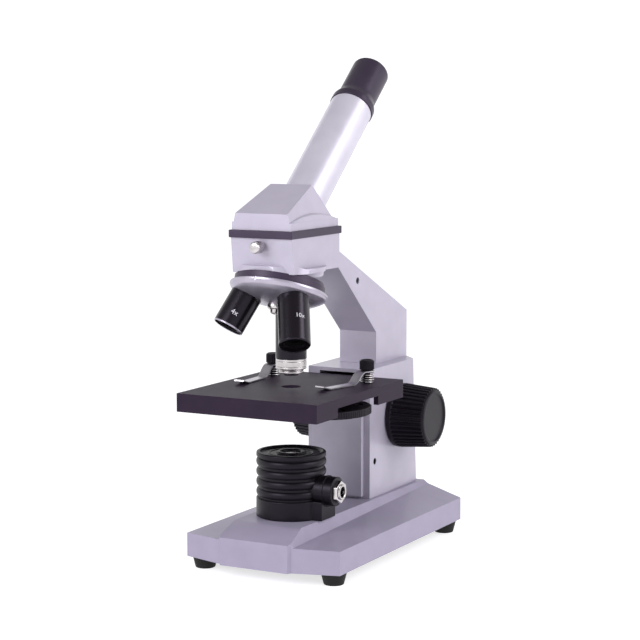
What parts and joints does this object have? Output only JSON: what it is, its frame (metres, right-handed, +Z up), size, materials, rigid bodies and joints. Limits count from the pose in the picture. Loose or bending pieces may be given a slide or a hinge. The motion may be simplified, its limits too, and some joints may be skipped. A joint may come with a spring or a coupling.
{
  "type": "microscope",
  "caption": "Compact upright student microscope with a revolving nosepiece, clipped stage on a rack focus, base lamp and inclined monocular tube on a turning head.",
  "frame": {"origin": "on the table plane under the middle of the outer box: x = 0 is the plane through the optical axis and the pillar", "axes": "+Z up; -Y towards the front, where lamp and specimen are; +Y towards the pillar and the eyepiece; +X towards the side of the power socket"},
  "size_m": [0.1, 0.1816, 0.2951],
  "materials": {
    "silver_paint": "satin silver enamel on die-cast alloy",
    "black_paint": "satin black enamel on alloy",
    "black_plastic": "satin black moulding",
    "black_barrel": "gloss black lacquer on turned alloy",
    "bright_metal": "bright plated",
    "spring_steel": "bright spring steel",
    "screw_steel": "plain steel",
    "brass": "machined brass",
    "rubber": "moulded rubber",
    "lens_glass": "coated optical glass",
    "frosted_window": "frosted",
    "circuit_board": "green solder mask",
    "led_resin": "clear resin"
  },
  "bodies": {
    "stand": {"base_casting": "silver_paint", "base_cover": "black_paint", "foot_front_right": "rubber", "foot_front_left": "rubber", "foot_back_right": "rubber", "foot_back_left": "rubber", "foot_screws": "screw_steel", "pillar_housing": "silver_paint", "guide_plate": "silver_paint", "slide_way_right": "screw_steel", "slide_way_left": "screw_steel", "shaft_bushes": "brass", "grub_screws": "screw_steel", "arm": "silver_paint", "arm_screws": "screw_steel", "head_block": "silver_paint", "head_block_screws": "screw_steel", "nosepiece_ring": "black_paint", "head_band": "black_plastic", "lamp_base": "black_plastic", "lamp_housing": "black_plastic", "lamp_cap": "black_plastic", "lamp_window": "frosted_window", "lamp_board": "circuit_board", "lamp_led": "led_resin", "jack_socket": "black_plastic", "jack_nut": "bright_metal", "jack_pin": "bright_metal"},
    "focus_drive": {"focus_shaft": "screw_steel", "focus_pinion": "brass", "knob_right": "black_plastic", "knob_left": "black_plastic"},
    "stage": {"stage_plate": "black_paint", "stage_carriage": "black_paint", "stage_screws": "screw_steel", "focus_rack": "brass", "clip_posts": "black_plastic", "clip_springs": "spring_steel", "diaphragm_pivot": "screw_steel"},
    "right_clip": {"clip_right": "spring_steel"},
    "left_clip": {"clip_left": "spring_steel"},
    "diaphragm": {"diaphragm_disc": "black_paint"},
    "turret": {"turret_disc": "silver_paint", "turret_pivot": "bright_metal", "objective_low_barrel": "black_barrel", "objective_low_nose": "bright_metal", "objective_middle_barrel": "black_barrel", "objective_middle_nose": "bright_metal", "objective_high_barrel": "black_barrel", "objective_high_nose": "bright_metal", "objective_lenses": "lens_glass"},
    "head": {"head_cap": "silver_paint", "head_prism": "lens_glass", "head_collar": "brass", "eyepiece_tube": "silver_paint"},
    "eyepiece": {"eyepiece_body": "black_plastic", "eye_lens": "lens_glass", "field_lens": "lens_glass", "eyepiece_spacer": "black_plastic"},
    "lock_screw": {"head_lock_screw": "bright_metal"}
  },
  "joints": [
    {"name": "stage_lift", "type": "slide", "parent": "stand", "child": "stage", "axis": [0, 0, 1], "range_m": [-0.014, 0.0024]},
    {"name": "focus_turn", "type": "hinge", "parent": "stand", "child": "focus_drive", "pos_m": [0, 0.06025, 0.076], "axis": [1, 0, 0], "range_deg": [-25, 144]},
    {"name": "diaphragm_turn", "type": "hinge", "parent": "stage", "child": "diaphragm", "pos_m": [0.021, -0.03845, 0.094], "axis": [0, 0, 1], "continuous": true},
    {"name": "right_clip_swivel", "type": "hinge", "parent": "stage", "child": "right_clip", "pos_m": [0.0315, -0.00395, 0.112], "axis": [0, 0, 1], "range_deg": [-18, 35]},
    {"name": "left_clip_swivel", "type": "hinge", "parent": "stage", "child": "left_clip", "pos_m": [-0.0315, -0.00395, 0.112], "axis": [0, 0, 1], "range_deg": [-35, 28]},
    {"name": "turret_turn", "type": "hinge", "parent": "stand", "child": "turret", "pos_m": [0, -0.05358, 0.1604], "axis": [0, 0.342, 0.9397], "continuous": true},
    {"name": "head_turn", "type": "hinge", "parent": "stand", "child": "head", "pos_m": [0, -0.03845, 0.1976], "axis": [0, 0, 1], "continuous": true},
    {"name": "eyepiece_pull", "type": "slide", "parent": "head", "child": "eyepiece", "axis": [0, 0.757, 0.6534], "range_m": [0, 0.03]},
    {"name": "lock_screw_turn", "type": "hinge", "parent": "stand", "child": "lock_screw", "pos_m": [0, -0.07295, 0.1885], "axis": [0, -1, 0], "range_deg": [0, 360]}
  ],
  "couplings": [
    {"joint": "focus_turn", "follows": "stage_lift", "rad_per_m": -178.57}
  ]
}
